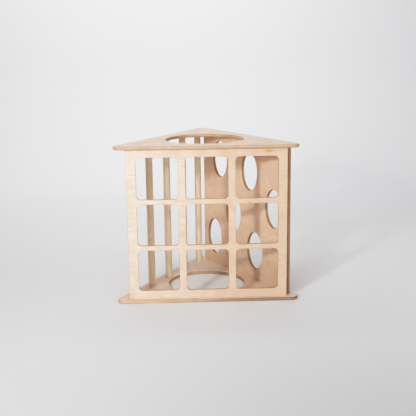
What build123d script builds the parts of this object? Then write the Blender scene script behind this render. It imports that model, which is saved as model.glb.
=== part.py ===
from build123d import *
from math import sqrt
import os

# A child's free-standing climbing prism: two triangular plywood plates, one above the other, joined by a
# window panel at the front, an oval-hole panel at the right and a row of upright round rungs at the left.
# Millimetres, +Z up. The origin is on the floor, under the middle of the box that holds the whole prism.
# +X runs to the right along the front side, and +Y runs from the front side to the rear corner.

# Plates
side = 1040.0                    # side of the equilateral outline, between its sharp corners
corner_radius = 38.0             # rounding of the three corners, in plan
height = 858.0                   # floor to the upper face of the top plate
ply = 18.0                       # thickness of every plywood board
opening_radius = 218.0           # round opening in the middle of each plate
plate_edge_round = 3.0           # rounding of the plates' arrises

# The three sides
inset = 25.0                     # from the sharp outline to the outer face of each side

# Window panel
window_width = 228.0             # middle and right columns
left_window_width = 222.0        # left column
window_height = 226.0
window_corner_radius = 22.0
mullion = 40.0                   # upright bar between two windows
left_stile = 52.5                # upright bar at the left end of the panel
right_stile = 49.0               # upright bar at the right end of the panel
rail = 27.0                      # level bar between two windows

# Both panels
panel_end = 431.0                # from the middle of a side to the end of its panel
panel_edge_round = 2.5           # rounding of the arrises of both panels and of their holes

# Oval panel
oval_width = 152.0
oval_height = 220.0
oval_centres = [                 # from the panel's centre: towards the rear corner, and up
    (245.0, 260.0),
    (-65.0, 225.0),
    (100.0, -50.0),
    (-300.0, 45.0),
    (310.0, -235.0),
    (-120.0, -235.0),
]

# Rungs
rung_diameter = 40.0
rung_count = 5
rung_pitch = 188.0
socket_depth = 10.0              # how far each rung end sits in a plate
rung_end_chamfer = 1.0

# Wooden pins that join the panels to the plates
pin_diameter = 8.0
pin_in_plate = 12.0
pin_in_panel = 24.0
pin_end_chamfer = 0.8
oval_panel_pin_places = [-380.0, -130.0, 130.0, 380.0]
glue_gap = 0.1                   # radial room for glue round the rungs and the pins
glue_room = 0.5                  # room for glue past the end of each pin

# Worked out from the sizes above
inradius = side / (2 * sqrt(3))
circumradius = side / sqrt(3)
depth = inradius + circumradius - corner_radius
front_y = -depth / 2
axis_y = front_y + inradius      # the openings' common axis, at the triangle's centre
clear_height = height - 2 * ply
middle_z = height / 2
window_columns = [               # place of each column of windows along the front, and its width
    (-(window_width + left_window_width) / 2 - mullion, left_window_width),
    (0.0, window_width),
    (window_width + mullion, window_width),
]
window_rows = [row * (window_height + rail) for row in (1, 0, -1)]
grid_left_end = -window_width / 2 - mullion - left_window_width - left_stile
rung_length = clear_height + 2 * socket_depth
pin_length = pin_in_plate + pin_in_panel


def side_plane(outward, offset):
    """Upright plane of one side: local X runs along it, local Y up, and its origin is in mid-height.

    outward is the angle of the outward normal from +X, and offset is how far in from the outline it is.
    """
    normal = Vector(1, 0, 0).rotate(Axis.Z, outward)
    origin = Vector(0, axis_y, middle_z) + normal * (inradius - offset)
    return Plane(origin=origin, x_dir=Vector(0, 0, 1).cross(normal), z_dir=normal)


front_outer = side_plane(-90, inset)
right_outer = side_plane(30, inset)
left_rungs = side_plane(150, inset + rung_diameter / 2)
front_middle = front_outer.offset(-ply / 2)
right_middle = right_outer.offset(-ply / 2)


def in_plan(plane, along):
    """Plan position of the point at this distance from the middle of a side."""
    point = plane.from_local_coords(Vector(along, 0, 0))
    return (point.X, point.Y)


# The first rung is at the front, and the left side's local X runs from the rear corner to the front.
rung_places = [in_plan(left_rungs, (2 - number) * rung_pitch) for number in range(rung_count)]
mullion_place = (window_width + mullion) / 2
grid_pin_row = [grid_left_end + left_stile / 2, -mullion_place, mullion_place, panel_end - right_stile / 2]
grid_pin_places = [in_plan(front_middle, x) for x in grid_pin_row]
oval_pin_places = [in_plan(right_middle, x) for x in oval_panel_pin_places]


def triangular_plate(bottom, inner_face, into_plate):
    """A plate with its opening and its blind holes.

    bottom is the height of its lower face. inner_face is the height of the face that the sides stand
    against, and into_plate is -1 or +1, the vertical way from that face into the board.
    """
    with BuildPart() as plate:
        with BuildSketch(Plane.XY.offset(bottom)) as outline:
            with Locations((0, axis_y)):
                RegularPolygon(circumradius, 3, rotation=90)
            fillet(outline.vertices(), corner_radius)
            with Locations((0, axis_y)):
                Circle(opening_radius, mode=Mode.SUBTRACT)
        extrude(amount=ply)
        fillet(plate.faces().filter_by(Axis.Z).edges(), plate_edge_round)
        with BuildSketch(Plane.XY.offset(inner_face)):
            with Locations(*rung_places):
                Circle(rung_diameter / 2 + glue_gap)
        extrude(amount=into_plate * socket_depth, mode=Mode.SUBTRACT)
        with BuildSketch(Plane.XY.offset(inner_face)):
            with Locations(*grid_pin_places, *oval_pin_places):
                Circle(pin_diameter / 2 + glue_gap)
        extrude(amount=into_plate * (pin_in_plate + glue_room), mode=Mode.SUBTRACT)
    return plate.part


def window_openings():
    """Three rows and three columns of nearly square windows, on the front panel's outer face."""
    with BuildSketch(front_outer) as windows:
        for place, width in window_columns:
            with Locations(*[(place, row) for row in window_rows]):
                RectangleRounded(width, window_height, window_corner_radius)
    return windows.sketch


def oval_openings():
    """Scattered upright ovals for hands and feet, on the right panel's outer face."""
    with BuildSketch(right_outer) as ovals:
        with Locations(*oval_centres):
            Ellipse(oval_width / 2, oval_height / 2)
    return ovals.sketch


def side_panel(outer, start, end, openings, pin_places):
    """A plywood side with through openings, and with pin holes in its lower and upper edges.

    start and end are the places of its two ends, along its outer face from the middle of the side.
    """
    with BuildPart() as panel:
        with BuildSketch(outer):
            with Locations(((start + end) / 2, 0)):
                Rectangle(end - start, clear_height)
        extrude(amount=-ply)
        extrude(openings, amount=-ply, mode=Mode.SUBTRACT)
        # Every arris is rounded, except along the level edges that meet the plates.
        arrises = panel.faces().filter_by(outer).edges()
        fillet(arrises.filter_by_position(Axis.Z, ply, height - ply, (False, False)), panel_edge_round)
        for edge_z, into_panel in ((ply, 1), (height - ply, -1)):
            with BuildSketch(Plane.XY.offset(edge_z)):
                with Locations(*pin_places):
                    Circle(pin_diameter / 2 + glue_gap)
            extrude(amount=into_panel * (pin_in_panel + glue_room), mode=Mode.SUBTRACT)
    return panel.part


def rung(place):
    """One upright round bar, long enough to fill its two sockets."""
    with BuildPart() as bar:
        with BuildSketch(Plane.XY.offset(ply - socket_depth)):
            with Locations(place):
                Circle(rung_diameter / 2)
        extrude(amount=rung_length)
        chamfer(bar.edges().filter_by(GeomType.CIRCLE), rung_end_chamfer)
    return bar.part


def pins(places, bottom):
    """The wooden pins of one joint between a panel and a plate."""
    with BuildPart() as group:
        with BuildSketch(Plane.XY.offset(bottom)):
            with Locations(*places):
                Circle(pin_diameter / 2)
        extrude(amount=pin_length)
        chamfer(group.edges().filter_by(GeomType.CIRCLE), pin_end_chamfer)
    return group.part


lower_pins_z = ply - pin_in_plate
upper_pins_z = height - ply - pin_in_panel

pieces = {
    "bottom_plate": triangular_plate(0, ply, -1),
    "top_plate": triangular_plate(height - ply, height - ply, 1),
    "grid_panel": side_panel(front_outer, grid_left_end, panel_end, window_openings(), grid_pin_places),
    "oval_panel": side_panel(right_outer, -panel_end, panel_end, oval_openings(), oval_pin_places),
    "grid_panel_lower_pins": pins(grid_pin_places, lower_pins_z),
    "grid_panel_upper_pins": pins(grid_pin_places, upper_pins_z),
    "oval_panel_lower_pins": pins(oval_pin_places, lower_pins_z),
    "oval_panel_upper_pins": pins(oval_pin_places, upper_pins_z),
}
for number, place in enumerate(rung_places, start=1):
    pieces[f"rung_{number}"] = rung(place)

os.makedirs("parts", exist_ok=True)
for name, piece in pieces.items():
    piece.label = name
    export_step(piece, f"parts/{name}.step")
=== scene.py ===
from math import cos, exp, pi, radians, sin

import bmesh
import bpy
from mathutils import Euler, Matrix, Vector


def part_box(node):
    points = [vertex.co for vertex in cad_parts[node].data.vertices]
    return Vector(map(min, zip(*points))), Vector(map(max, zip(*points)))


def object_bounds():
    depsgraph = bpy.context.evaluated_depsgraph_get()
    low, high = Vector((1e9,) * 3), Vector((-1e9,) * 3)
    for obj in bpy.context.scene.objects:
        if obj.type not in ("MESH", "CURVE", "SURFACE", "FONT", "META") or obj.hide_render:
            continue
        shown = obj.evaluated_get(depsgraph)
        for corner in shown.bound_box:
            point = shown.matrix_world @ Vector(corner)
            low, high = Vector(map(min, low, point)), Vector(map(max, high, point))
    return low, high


# A child's free-standing climbing prism in birch plywood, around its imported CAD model.
# Metres, +Z up. +X runs to the right along the window side and +Y to the rear corner.
# Every board is a solid texture: its veneers are cut open by the real shape of its edges and holes.

RIGHT, REAR, UP = Vector((1, 0, 0)), Vector((0, 1, 0)), Vector((0, 0, 1))

# Camera
CAMERA_PLACE = Vector((-0.12696, -4.36800, 1.38822))
CAMERA_DOWN = radians(12.356)
CAMERA_TO_RIGHT = radians(1.898)
CAMERA_ROLL = radians(-0.706)
CAMERA_LENS = 65.69                  # mm, on a sensor 36 mm wide
SENSOR_WIDTH = 36.0

# Studio
FLOOR_HALF_WIDTH = 9.0
FLOOR_FRONT = -9.0
COVE_START = 2.4
COVE_RADIUS = 1.2
WALL_TOP = 7.0
COVE_STEPS = 48
# The floor paper is painted darker than the wall paper: painted shade.
WALL_PAPER = (0.832, 0.830, 0.848)
FLOOR_PAPER_WITH_PAINTED_SHADE = (0.748, 0.748, 0.760)
PAPER_MOTTLE = (0.7, 0.7, 0.7)
FLOOR_TO_WALL = (1.2, 2.9)           # the stretch of +Y over which the floor's painted shade gives way to the paler wall paper
FLOOR_FRONT_PAINTED_SHADE_SPAN = (-1.9, -0.9)        # the stretch of +Y over which the painted shade at the front of the floor fades out
FLOOR_FRONT_PAINTED_SHADE = 0.89                   # how light the very front of the floor is under its painted shade

# Lights: place, size of the disc and power in watts
BEAM = radians(120)                  # of the two lights that shine on the object from the front
KEY_PLACE = Vector((-1.47, -3.07, 1.655))
KEY_SIZE = 0.26
KEY_POWER = 18.6
BACK_PLACE = Vector((-0.5, 1.4, 3.6))
BACK_TARGET = Vector((-0.3, 3.6, 1.6))
BACK_SIZE = 3.6
BACK_POWER = 74.0
FRONT_PLACE = Vector((-2.3, -5.2, 1.8))
FRONT_SIZE = 1.8
FRONT_POWER = 46.0
WALL_PLACE = Vector((-0.4, -2.2, 4.6))
WALL_TARGET = Vector((0.0, 3.6, 1.8))
WALL_SIZE = 2.6
WALL_POWER = 42.0
RIGHT_PLACE = Vector((3.4, -1.6, 1.6))
RIGHT_SIZE = 2.0
RIGHT_POWER = 30.0
SKY = (1.0, 1.0, 1.0)
SKY_STRENGTH = 0.28

# Tones of the picture: picture = 1 - exp(-TONE_GAIN * light ** TONE_CONTRAST)
TONE_GAIN = 1.96
TONE_CONTRAST = 1.45
TONE_END = 2.4
TONE_STEPS = 12

# Plywood. Shades are factors on a tone, and strengths are shares of the darker tone.
PLIES = 13
FACE_TONE = (0.765, 0.556, 0.418)
PALE_TONE = (0.860, 0.686, 0.565)    # a paler tone: the plates all over, the grid panel towards its left end
FIGURE_DARK = (0.60, 0.365, 0.225)   # late wood and streaks
SIDE_GRAIN = (0.90, 0.82, 0.74)      # tint of a veneer cut along its fibres
END_GRAIN = (0.66, 0.53, 0.43)       # tint of a veneer cut across its fibres
GLUE = (0.30, 0.20, 0.13)
GLUE_LINE = 0.00014                  # half the thickness of a glue line
GLUE_STRENGTH = 0.75
KNOT = (0.42, 0.24, 0.12)            # pores and flecks
PORE_STRENGTH = 0.30
MINERAL = (0.55, 0.27, 0.10)
DRIFT_STRENGTH = 0.24                # slow change of tone over a board
FIGURE_STRENGTH = 0.23
STREAK_STRENGTH = 0.22               # of the soft and of the fine streaks
FIGURE_RINGS = 19.0
FOOT_REACH = 0.7                     # shares of the thickness over which the painted shade at an arris fades
HEAD_START, HEAD_END = 0.72, 0.95
FACE_BUMP = 0.00015
EDGE_ROUGHNESS = 0.72

# Boards: the seed of each one's figure, and the light and shade painted into its colour
BOTTOM_PLATE_SEED = 11.0
TOP_PLATE_SEED = 23.0
GRID_PANEL_SEED = 37.0
OVAL_PANEL_SEED = 53.0
BOTTOM_FACE_PAINTED_SHADE = (0.86, 0.84)     # front, rear: painted shade that darkens the whole bottom plate
# front, rear: painted light at the front of the top plate, painted shade at its rear
TOP_FACE_PAINTED_LIGHT_AND_SHADE = (1.06, 0.93)
BOTTOM_EDGE_PAINTED_LIGHT_AND_SHADE = (1.40, 0.76)     # left, right: painted light towards the left end, painted shade towards the right end
# painted light on the top plate's edges
TOP_EDGE_PAINTED_LIGHT = (1.09, 1.09)
PLATE_ARRIS_PAINTED_SHADE = (0.76, 0.74)     # lower, upper: painted shade towards the lower arris, and darker towards the upper arris
EDGE_PAINTED_SHADE_LEFT = 0.7                # where the left and right painted light and shade begin, as shares of the half width
EDGE_PAINTED_SHADE_RIGHT = 0.6
PALE_END = 0.6                       # where the grid panel's paler left part has ended, as such a share
GRID_FACE_PAINTED_LIGHT = (0.99, 1.045)      # lower, upper: painted light, the face lighter towards the top
OVAL_FACE_PAINTED_SHADE = (0.79, 1.0)        # at the foot, and above the height below: painted shade, darker towards the foot
OVAL_PAINTED_SHADE_HEIGHT = 0.4
OVAL_EDGE_PAINTED_SHADE = (1.0, 0.82)        # at the front end, and behind OVAL_END_DEPTH: painted shade on the oval panel's edges and hole walls
OVAL_END_DEPTH = 0.06
MINERAL_PLACE = (-0.100, -0.017)     # from the grid panel's upper right corner
MINERAL_RADII = (0.026, 0.006)       # along and across the grain

# Bars and pins
RUNG_TONE = (0.880, 0.730, 0.560)
PIN_TONE = (0.70, 0.52, 0.36)
RUNG_SEED = 40.0
PIN_SEED = 90.0
BAR_RINGS = 22.0
BAR_BUMP = 0.0002


class Graph:
    """The node tree of one material, with short calls for the nodes that it is made of."""

    def __init__(self, name):
        self.material = bpy.data.materials.new(name)
        self.material.use_nodes = True
        self.tree = self.material.node_tree
        self.tree.nodes.clear()

    def node(self, kind, inputs, **settings):
        made = self.tree.nodes.new(kind)
        for key, value in settings.items():
            setattr(made, key, value)
        for key, value in inputs.items():
            if isinstance(value, bpy.types.NodeSocket):
                self.tree.links.new(value, made.inputs[key])
            else:
                made.inputs[key].default_value = value
        return made

    def math(self, operation, a, b=0.0, c=0.0):
        made = self.node("ShaderNodeMath", {0: a, 1: b, 2: c}, operation=operation)
        return made.outputs[0]

    def ramp(self, value, low, high, to_low=0.0, to_high=1.0):
        """value taken smoothly from low..high to to_low..to_high."""
        inputs = {"Value": value, "From Min": low, "From Max": high, "To Min": to_low, "To Max": to_high}
        made = self.node("ShaderNodeMapRange", inputs, interpolation_type="SMOOTHSTEP")
        return made.outputs["Result"]

    def mix(self, factor, a, b):
        """A number between a and b."""
        made = self.node("ShaderNodeMix", {0: factor, 2: a, 3: b}, data_type="FLOAT")
        return made.outputs[0]

    def blend(self, factor, a, b, blend_type="MIX"):
        """A colour between a and b."""
        inputs = {0: factor, 6: rgba(a), 7: rgba(b)}
        made = self.node("ShaderNodeMix", inputs, data_type="RGBA", blend_type=blend_type)
        return made.outputs[2]

    def vector(self, x, y, z):
        return self.node("ShaderNodeCombineXYZ", {0: x, 1: y, 2: z}).outputs[0]

    def times(self, a, b):
        return self.math("MULTIPLY", a, b)

    def shaded(self, colour, shade):
        """A colour made lighter or darker by a number."""
        return self.blend(1.0, colour, self.vector(shade, shade, shade), "MULTIPLY")

    def split(self, vector):
        return self.node("ShaderNodeSeparateXYZ", {0: vector}).outputs

    def noise(self, vector, scale=1.0, detail=2.0, roughness=0.5):
        inputs = {"Vector": vector, "Scale": scale, "Detail": detail, "Roughness": roughness}
        return self.node("ShaderNodeTexNoise", inputs).outputs["Fac"]

    def random(self, value):
        return self.node("ShaderNodeTexWhiteNoise", {"W": value}, noise_dimensions="1D").outputs["Value"]

    def finish(self, colour, roughness, height, bump_distance):
        bump = self.node("ShaderNodeBump", {"Strength": 1.0, "Distance": bump_distance, "Height": height})
        inputs = {"Base Color": colour, "Roughness": roughness, "Normal": bump.outputs[0]}
        shader = self.node("ShaderNodeBsdfPrincipled", inputs)
        shader.inputs["Specular IOR Level"].default_value = 0.35
        output = self.node("ShaderNodeOutputMaterial", {})
        self.tree.links.new(shader.outputs[0], output.inputs["Surface"])
        return self.material


def rgba(colour):
    """A colour as a node input wants it."""
    return colour if isinstance(colour, bpy.types.NodeSocket) else (*colour, 1.0)


def board_coordinates(graph, origin, grain, across):
    """Place and normal in a board's own frame: along the face grain, across it, and in from the face at
    origin."""
    inward = grain.cross(across)
    turn = Matrix((grain, across, inward)).transposed().to_euler()
    source = graph.node("ShaderNodeTexCoord", {})
    place = graph.node(
        "ShaderNodeMapping",
        {"Vector": source.outputs["Object"], "Location": origin, "Rotation": turn},
        vector_type="TEXTURE",
    )
    normal = graph.node(
        "ShaderNodeMapping",
        {"Vector": source.outputs["Normal"], "Rotation": turn},
        vector_type="TEXTURE",
    )
    return graph.split(place.outputs[0]), graph.split(normal.outputs[0])


def figure(graph, along, across, seed):
    """The figure of rotary-cut birch, as a number from 0 (pale) to 1 (dark): wide arches that come and go."""
    flow = graph.noise(graph.vector(graph.times(along, 2.0), graph.times(across, 4.5), seed),
                       detail=2.5, roughness=0.45)
    wave = graph.math("SINE", graph.times(flow, FIGURE_RINGS * 2 * pi))
    patch_place = graph.vector(graph.times(along, 4.2), graph.times(across, 5.5),
                               graph.math("ADD", seed, 5.0))
    patch = graph.noise(patch_place)
    return graph.times(graph.ramp(wave, -0.2, 1.0), graph.ramp(patch, 0.35, 0.65, 0.25, 1.0))


def fibres(graph, along, across, seed):
    """Wide soft streaks and fine streaks along the grain, and the short dark pores among them."""
    soft_place = graph.vector(graph.times(along, 4.0), graph.times(across, 95.0), seed)
    soft = graph.noise(soft_place, detail=3.0, roughness=0.6)
    fine_place = graph.vector(graph.times(along, 14.0), graph.times(across, 420.0), seed)
    fine = graph.noise(fine_place, detail=4.0, roughness=0.65)
    pore_place = graph.vector(graph.times(along, 130.0), graph.times(across, 1500.0), seed)
    pores = graph.ramp(graph.noise(pore_place, detail=1.0), 0.66, 0.78)
    return soft, fine, pores


def plywood(name, origin, grain, across, thickness, seed, pale=(), mineral=(), painted_face_shade=(), painted_edge_shade=()):
    """A birch plywood board, veneer by veneer, wherever its shape cuts it open.

    pale gives the places along the face grain between which the face goes from the paler tone to the face
    tone.
    mineral gives the middle of a small mineral streak, along and across the grain, and its two radii.
    painted_face_shade gives two places across the face grain and how light the board is at each of them:
    painted light and shade.
    painted_edge_shade gives two places along the face grain, how light the edges are at each of them, and how
    light they are at the arris that w starts from and at the other arris: painted light and shade.
    """
    graph = Graph(name)
    (u, v, w), (nu, nv, nw) = board_coordinates(graph, origin, grain, across)
    veneer = graph.math("DIVIDE", w, thickness / PLIES)
    number = graph.math("MINIMUM", graph.math("MAXIMUM", graph.math("FLOOR", veneer), 0.0), PLIES - 1.0)
    crossed = graph.math("MODULO", number, 2.0)
    chance = graph.random(graph.math("ADD", number, seed))
    layer = graph.math("MULTIPLY_ADD", chance, 7.0, seed)
    along, side = graph.mix(crossed, u, v), graph.mix(crossed, v, u)
    soft, fine, pores = fibres(graph, along, graph.math("ADD", side, w), layer)

    tone = graph.blend(graph.ramp(u, *pale), PALE_TONE, FACE_TONE) if pale else FACE_TONE
    drift = graph.noise(graph.vector(graph.times(u, 14.0), graph.times(v, 12.0), seed + 3.0))
    tone = graph.blend(graph.ramp(drift, 0.38, 0.66, 0.0, DRIFT_STRENGTH), tone, FIGURE_DARK)
    tone = graph.blend(graph.times(figure(graph, along, side, layer), FIGURE_STRENGTH), tone, FIGURE_DARK)
    tone = graph.blend(graph.ramp(soft, 0.42, 0.78, 0.0, STREAK_STRENGTH), tone, FIGURE_DARK)
    tone = graph.blend(graph.ramp(fine, 0.42, 0.80, 0.0, STREAK_STRENGTH), tone, FIGURE_DARK)
    tone = graph.blend(graph.times(pores, PORE_STRENGTH), tone, KNOT)
    # Painted light and shade across the face.
    if painted_face_shade:
        tone = graph.shaded(tone, graph.ramp(v, *painted_face_shade))
    if mineral:
        tone = graph.blend(mineral_streak(graph, u, v, fine, *mineral), tone, MINERAL)

    glue = glue_lines(graph, veneer, thickness)
    cut_across = graph.math("ABSOLUTE", graph.mix(crossed, nu, nv))
    cut = graph.blend(graph.ramp(cut_across, 0.15, 0.85), SIDE_GRAIN, END_GRAIN)
    cut = graph.shaded(cut, graph.math("MULTIPLY_ADD", chance, 0.24, 0.86))
    edge_tone = graph.blend(1.0, tone, cut, "MULTIPLY")
    edge_tone = graph.blend(graph.times(glue, GLUE_STRENGTH), edge_tone, GLUE)
    # Painted light and shade on the edges, along the board and towards its arrises.
    if painted_edge_shade:
        *along_edge, foot, head = painted_edge_shade
        shade = graph.times(graph.ramp(u, *along_edge), graph.ramp(w, 0.0, thickness * FOOT_REACH, foot, 1.0))
        shade = graph.times(shade, graph.ramp(w, thickness * HEAD_START, thickness * HEAD_END, 1.0, head))
        edge_tone = graph.shaded(edge_tone, shade)

    facing = graph.ramp(graph.math("ABSOLUTE", nw), 0.92, 0.997)
    colour = graph.blend(facing, edge_tone, tone)
    saw = graph.noise(graph.vector(graph.times(u, 900.0), graph.times(v, 900.0), w), detail=1.0)
    face_height = graph.math("MULTIPLY_ADD", pores, -0.5, fine)
    edge_height = graph.math("ADD", graph.times(saw, 0.6), graph.times(glue, -1.5))
    height = graph.mix(facing, edge_height, face_height)
    roughness = graph.mix(facing, EDGE_ROUGHNESS, graph.ramp(fine, 0.3, 0.8, 0.44, 0.56))
    return graph.finish(colour, roughness, height, FACE_BUMP)


def glue_lines(graph, veneer, thickness):
    """The seams between the veneers, as a number from 0 (wood) to 1 (glue)."""
    seam = graph.math("SUBTRACT", veneer, graph.math("ROUND", veneer))
    off_seam = graph.times(graph.math("ABSOLUTE", seam), thickness / PLIES)
    from_middle = graph.math("ABSOLUTE", graph.math("SUBTRACT", veneer, PLIES / 2))
    inside = graph.math("LESS_THAN", from_middle, PLIES / 2 - 0.5)
    return graph.times(graph.ramp(off_seam, GLUE_LINE * 0.5, GLUE_LINE, 1.0, 0.0), inside)


def mineral_streak(graph, u, v, fine, middle_u, middle_v, radius_u, radius_v):
    """A small ragged stain in the veneer, as a number from 0 (clean) to 1."""
    off_u = graph.math("DIVIDE", graph.math("SUBTRACT", u, middle_u), radius_u)
    off_v = graph.math("DIVIDE", graph.math("SUBTRACT", v, middle_v), radius_v)
    away = graph.math("ADD", graph.times(off_u, off_u), graph.times(off_v, off_v))
    ragged = graph.math("ADD", away, graph.ramp(fine, 0.3, 0.7, -0.4, 0.4))
    return graph.ramp(ragged, 0.2, 1.2, 0.75, 0.0)


def solid_wood(name, tone, seed_step):
    """Straight-grained bars, each from its own stick: upright fibres, flecks and a slow change of tone."""
    graph = Graph(name)
    x, y, z = graph.split(graph.node("ShaderNodeTexCoord", {}).outputs["Object"])
    stick = graph.node("ShaderNodeObjectInfo", {}).outputs["Random"]
    seed = graph.times(stick, seed_step)
    ring_noise = graph.noise(graph.vector(x, y, graph.times(z, 0.12)), 9.0)
    rings = graph.math("MULTIPLY_ADD", ring_noise, BAR_RINGS, seed)
    band = graph.ramp(graph.math("SINE", graph.times(rings, 2 * pi)), 0.0, 1.0)
    fine_height = graph.math("MULTIPLY_ADD", z, 9.0, seed)
    streaks = graph.noise(graph.vector(graph.times(x, 380.0), graph.times(y, 380.0), fine_height),
                          detail=4.0, roughness=0.6)
    fleck_height = graph.math("MULTIPLY_ADD", z, 170.0, seed)
    flecks = graph.noise(graph.vector(graph.times(x, 900.0), graph.times(y, 900.0), fleck_height), detail=1.0)
    flecks = graph.ramp(flecks, 0.64, 0.74)
    colour = graph.blend(graph.times(band, 0.12), tone, FIGURE_DARK)
    colour = graph.blend(graph.ramp(streaks, 0.35, 0.8, 0.0, 0.20), colour, FIGURE_DARK)
    colour = graph.blend(graph.times(flecks, 0.35), colour, KNOT)
    colour = graph.shaded(colour, graph.math("MULTIPLY_ADD", stick, 0.08, 0.96))
    height = graph.math("MULTIPLY_ADD", flecks, -0.4, streaks)
    return graph.finish(colour, graph.ramp(streaks, 0.3, 0.8, 0.42, 0.55), height, BAR_BUMP)


def dress(node, material):
    """Gives a CAD node its finish."""
    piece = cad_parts[node]
    if not piece.material_slots:
        piece.data.materials.append(None)
    for material_slot in piece.material_slots:
        material_slot.material = material
    return piece


def dress_plate(plate, seed, painted_face_shades, painted_edge_shades):
    low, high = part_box(plate)
    painted_face_shade = (low.y, high.y, *painted_face_shades)
    painted_edge_shade = (low.x * EDGE_PAINTED_SHADE_LEFT, high.x * EDGE_PAINTED_SHADE_RIGHT, *painted_edge_shades, *PLATE_ARRIS_PAINTED_SHADE)
    all_pale_tone = (high.x, high.x + 1)
    dress(plate, plywood(plate + "_plywood", (0, 0, low.z), RIGHT, REAR, high.z - low.z, seed, all_pale_tone,
                         painted_face_shade=painted_face_shade, painted_edge_shade=painted_edge_shade))


def dress_grid_panel():
    low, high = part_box("grid_panel")
    pale = (low.x, high.x * PALE_END)
    mineral = (high.x + MINERAL_PLACE[0], high.z + MINERAL_PLACE[1], *MINERAL_RADII)
    dress("grid_panel", plywood("grid_panel_plywood", (0, high.y, 0), RIGHT, UP, high.y - low.y,
                                GRID_PANEL_SEED, pale, mineral, (low.z, high.z, *GRID_FACE_PAINTED_LIGHT)))


def dress_oval_panel():
    low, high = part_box("oval_panel")
    outward = Vector((cos(radians(30)), sin(radians(30)), 0))
    to_rear = UP.cross(outward)
    thickness = thickness_of_grid_panel()
    front_outer_corner = Vector((high.x, low.y + thickness * outward.y, 0))
    front_inner_corner = front_outer_corner - thickness * outward
    painted_face_shade = (low.z, low.z + OVAL_PAINTED_SHADE_HEIGHT, *OVAL_FACE_PAINTED_SHADE)
    painted_edge_shade = (0.0, OVAL_END_DEPTH, *OVAL_EDGE_PAINTED_SHADE, 1.0, 1.0)
    dress("oval_panel", plywood("oval_panel_plywood", front_inner_corner, to_rear, UP, thickness,
                                OVAL_PANEL_SEED, painted_face_shade=painted_face_shade, painted_edge_shade=painted_edge_shade))


def thickness_of_grid_panel():
    """Both panels are cut from the same plywood, and this one stands square to the axes."""
    low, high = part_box("grid_panel")
    return high.y - low.y


def dress_bars():
    rung_wood = solid_wood("rung_wood", RUNG_TONE, RUNG_SEED)
    pin_wood = solid_wood("pin_wood", PIN_TONE, PIN_SEED)
    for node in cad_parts:
        if node.startswith("rung_"):
            dress(node, rung_wood)
        if node.endswith("_pins"):
            dress(node, pin_wood)


def paper_material():
    graph = Graph("backdrop_paper")
    source = graph.node("ShaderNodeTexCoord", {})
    mottle = graph.noise(source.outputs["Object"], 1.5, 3.0)
    distance = graph.split(source.outputs["Object"])[1]
    # Painted shade: the floor darker than the wall, and darker still towards its front.
    colour = graph.blend(graph.ramp(distance, *FLOOR_TO_WALL), FLOOR_PAPER_WITH_PAINTED_SHADE, WALL_PAPER)
    painted_front_shade = graph.ramp(distance, *FLOOR_FRONT_PAINTED_SHADE_SPAN, FLOOR_FRONT_PAINTED_SHADE, 1.0)
    colour = graph.shaded(colour, painted_front_shade)
    colour = graph.blend(graph.ramp(mottle, 0.3, 0.7, 0.0, 0.03), colour, PAPER_MOTTLE)
    fibre = graph.noise(source.outputs["Object"], 600.0, 2.0)
    return graph.finish(colour, 0.85, fibre, 0.0001)


def backdrop():
    """A level paper floor that curves up into a wall behind the object."""
    profile = [(FLOOR_FRONT, 0.0)]
    for step in range(COVE_STEPS + 1):
        turn = step / COVE_STEPS * pi / 2
        profile.append((COVE_START + COVE_RADIUS * sin(turn), COVE_RADIUS * (1 - cos(turn))))
    profile.append((COVE_START + COVE_RADIUS, WALL_TOP))
    mesh = bmesh.new()
    left = [mesh.verts.new((-FLOOR_HALF_WIDTH, y, z)) for y, z in profile]
    right = [mesh.verts.new((FLOOR_HALF_WIDTH, y, z)) for y, z in profile]
    for i in range(len(profile) - 1):
        face = mesh.faces.new((left[i], right[i], right[i + 1], left[i + 1]))
        face.smooth = True
    data = bpy.data.meshes.new("studio_floor")
    mesh.to_mesh(data)
    mesh.free()
    data.materials.append(paper_material())
    floor = bpy.data.objects.new("studio_floor", data)
    bpy.context.scene.collection.objects.link(floor)
    return floor


def add_camera():
    data = bpy.data.cameras.new("camera")
    data.lens = CAMERA_LENS
    data.sensor_width = SENSOR_WIDTH
    data.dof.use_dof = False
    camera = bpy.data.objects.new("camera", data)
    turn = Euler((0, 0, -CAMERA_TO_RIGHT)).to_matrix() @ Euler((pi / 2 - CAMERA_DOWN, 0, 0)).to_matrix()
    turn = turn @ Euler((0, 0, CAMERA_ROLL)).to_matrix()
    camera.matrix_world = Matrix.Translation(CAMERA_PLACE) @ turn.to_4x4()
    bpy.context.scene.collection.objects.link(camera)
    bpy.context.scene.camera = camera


def add_light(name, size, power, place, target, beam=pi):
    data = bpy.data.lights.new(name, "AREA")
    data.shape = "DISK"
    data.size = size
    data.energy = power
    data.spread = beam
    light = bpy.data.objects.new(name, data)
    light.location = place
    light.rotation_mode = "QUATERNION"
    light.rotation_quaternion = (target - place).to_track_quat("-Z", "Y")
    light.visible_camera = False
    bpy.context.scene.collection.objects.link(light)
    return light


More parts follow.
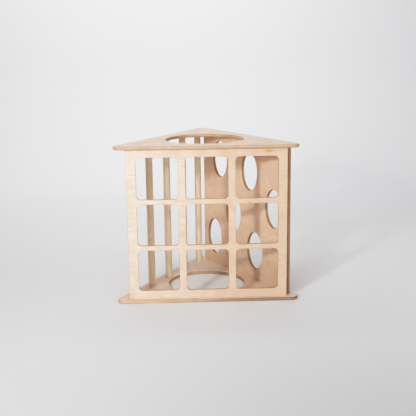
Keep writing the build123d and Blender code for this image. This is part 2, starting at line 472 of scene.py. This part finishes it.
def add_lights():
    middle = (cad_low + cad_high) / 2
    add_light("key_light", KEY_SIZE, KEY_POWER, KEY_PLACE, middle, BEAM)
    add_light("back_light", BACK_SIZE, BACK_POWER, BACK_PLACE, BACK_TARGET)
    add_light("front_light", FRONT_SIZE, FRONT_POWER, FRONT_PLACE, middle, BEAM)
    add_light("wall_light", WALL_SIZE, WALL_POWER, WALL_PLACE, WALL_TARGET)
    add_light("right_light", RIGHT_SIZE, RIGHT_POWER, RIGHT_PLACE, middle)
    world = bpy.data.worlds.new("studio_air")
    world.use_nodes = True
    background = world.node_tree.nodes["Background"]
    background.inputs["Color"].default_value = rgba(SKY)
    background.inputs["Strength"].default_value = SKY_STRENGTH
    bpy.context.scene.world = world


def develop():
    """The camera's tones: some contrast in the middle, and a soft shoulder that ends in white."""
    settings = bpy.context.scene.view_settings
    settings.view_transform = "Standard"
    settings.use_curve_mapping = True
    mapping = settings.curve_mapping
    mapping.clip_max_x = TONE_END
    curve = mapping.curves[3]
    for step in range(TONE_STEPS, -1, -1):
        light = TONE_END * (step / TONE_STEPS) ** 2
        tone = 1 - exp(-TONE_GAIN * light ** TONE_CONTRAST)
        if step == TONE_STEPS:
            curve.points[1].location = (light, tone)
        elif step > 0:
            curve.points.new(light, tone)
        else:
            curve.points[0].location = (light, tone)
    mapping.update()


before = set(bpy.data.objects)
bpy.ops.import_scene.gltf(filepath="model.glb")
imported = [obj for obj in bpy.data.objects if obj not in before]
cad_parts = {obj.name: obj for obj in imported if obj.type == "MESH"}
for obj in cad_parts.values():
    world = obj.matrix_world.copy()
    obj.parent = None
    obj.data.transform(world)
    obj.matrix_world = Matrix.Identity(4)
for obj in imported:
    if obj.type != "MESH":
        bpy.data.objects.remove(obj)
cad_low, cad_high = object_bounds()

dress_plate("bottom_plate", BOTTOM_PLATE_SEED, BOTTOM_FACE_PAINTED_SHADE, BOTTOM_EDGE_PAINTED_LIGHT_AND_SHADE)
dress_plate("top_plate", TOP_PLATE_SEED, TOP_FACE_PAINTED_LIGHT_AND_SHADE, TOP_EDGE_PAINTED_LIGHT)
dress_grid_panel()
dress_oval_panel()
dress_bars()
backdrop()
add_camera()
add_lights()
develop()
